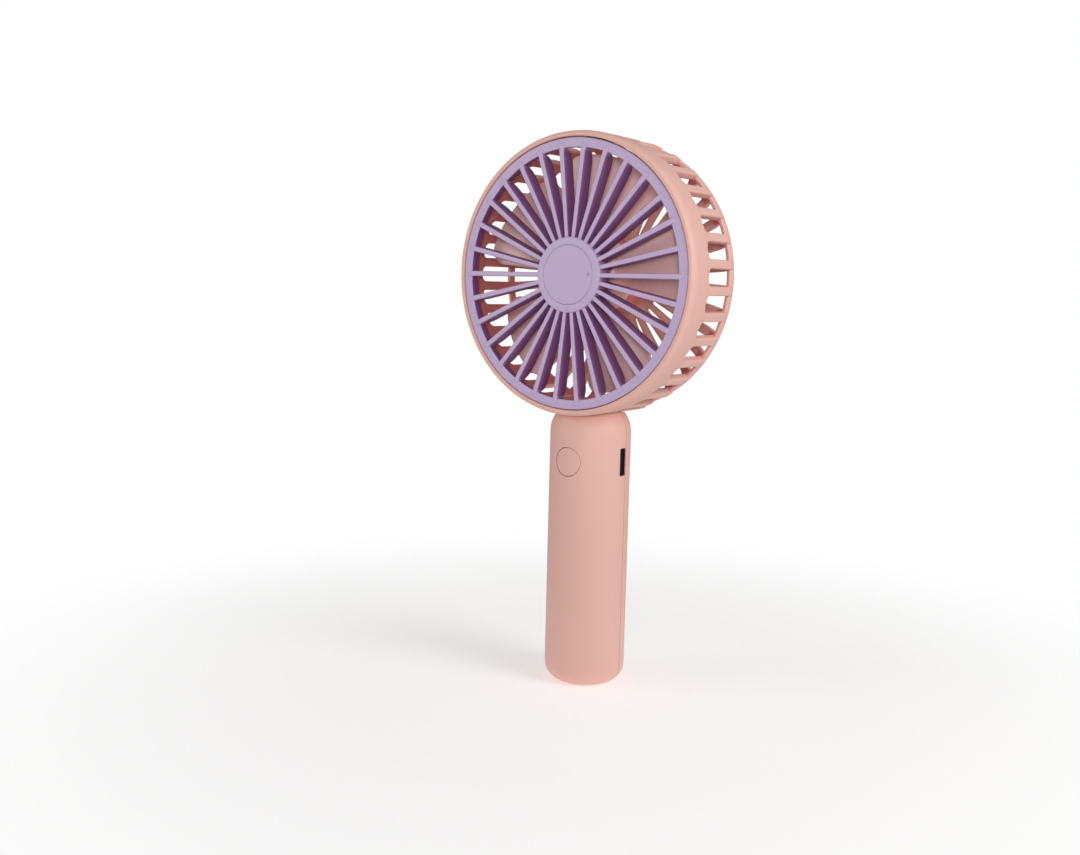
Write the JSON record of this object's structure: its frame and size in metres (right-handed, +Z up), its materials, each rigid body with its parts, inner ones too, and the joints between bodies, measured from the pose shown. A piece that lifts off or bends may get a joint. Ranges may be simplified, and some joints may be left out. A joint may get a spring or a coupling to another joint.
{
  "type": "handheld electric fan",
  "caption": "Handheld electric fan: slatted round head with a ribbed cage, a radial front grille and a straight round handle with a push button and a charging socket.",
  "frame": {"origin": "centre of the handle's flat foot", "axes": "+Z up the handle to the head, -Y the way the fan blows, +X the side with the charging socket"},
  "size_m": [0.1048, 0.0378, 0.2092],
  "materials": {
    "pink_shell": "satin moulded",
    "lilac_grille": "satin moulded",
    "pink_blade": "semi-gloss moulded",
    "pink_button": "satin moulded",
    "motor_steel": "plated, brushed",
    "screw_steel": "zinc plated",
    "shaft_steel": "ground",
    "nylon_white": "moulded nylon",
    "bronze": "sintered",
    "magnet": "ferrite",
    "lamination": "stacked laminations",
    "copper": "enamelled winding wire",
    "carbon": "carbon",
    "tin": "tinned",
    "lead_sleeve": "soft PVC",
    "switch_black": "moulded",
    "board_green": "solder mask",
    "chip_black": "epoxy",
    "socket_steel": "dark nickel",
    "cell_sleeve": "shrink sleeve over a steel can",
    "fish_paper": "paper",
    "foam_grey": "closed-cell foam"
  },
  "bodies": {
    "housing": {"rear_cage": "pink_shell", "rear_hub_cap": "pink_shell", "motor_can": "motor_steel", "motor_end_cap": "nylon_white", "motor_bushings": "bronze", "motor_magnets": "magnet", "motor_brushes": "carbon", "motor_terminals": "tin", "motor_screws": "screw_steel", "motor_leads": "lead_sleeve", "handle_front_shell": "pink_shell", "handle_rear_shell": "pink_shell", "neck_screws": "screw_steel", "switch_body": "switch_black", "control_board": "board_green", "board_chips": "chip_black", "board_screws": "screw_steel", "usb_socket": "socket_steel", "usb_tongue": "switch_black", "battery_cell": "cell_sleeve", "battery_insulator": "fish_paper", "battery_tabs": "tin", "battery_leads": "lead_sleeve", "battery_cushion": "foam_grey"},
    "grille": {"front_grille": "lilac_grille", "grille_hub_cap": "lilac_grille"},
    "impeller": {"impeller": "pink_blade", "motor_shaft": "shaft_steel", "motor_rotor_core": "lamination", "motor_windings": "copper", "motor_commutator": "copper"},
    "button": {"button_cap": "pink_button", "switch_plunger": "nylon_white"}
  },
  "joints": [
    {"name": "impeller_spin", "type": "hinge", "parent": "housing", "child": "impeller", "pos_m": [0, 0, 0.1568], "axis": [0, 1, 0], "continuous": true},
    {"name": "grille_twist", "type": "hinge", "parent": "housing", "child": "grille", "pos_m": [0, 0, 0.1568], "axis": [0, 1, 0], "range_deg": [0, 12]},
    {"name": "button_press", "type": "slide", "parent": "housing", "child": "button", "axis": [0, 1, 0], "range_m": [0, 0.0005], "stiffness_N_per_m": 2000}
  ]
}
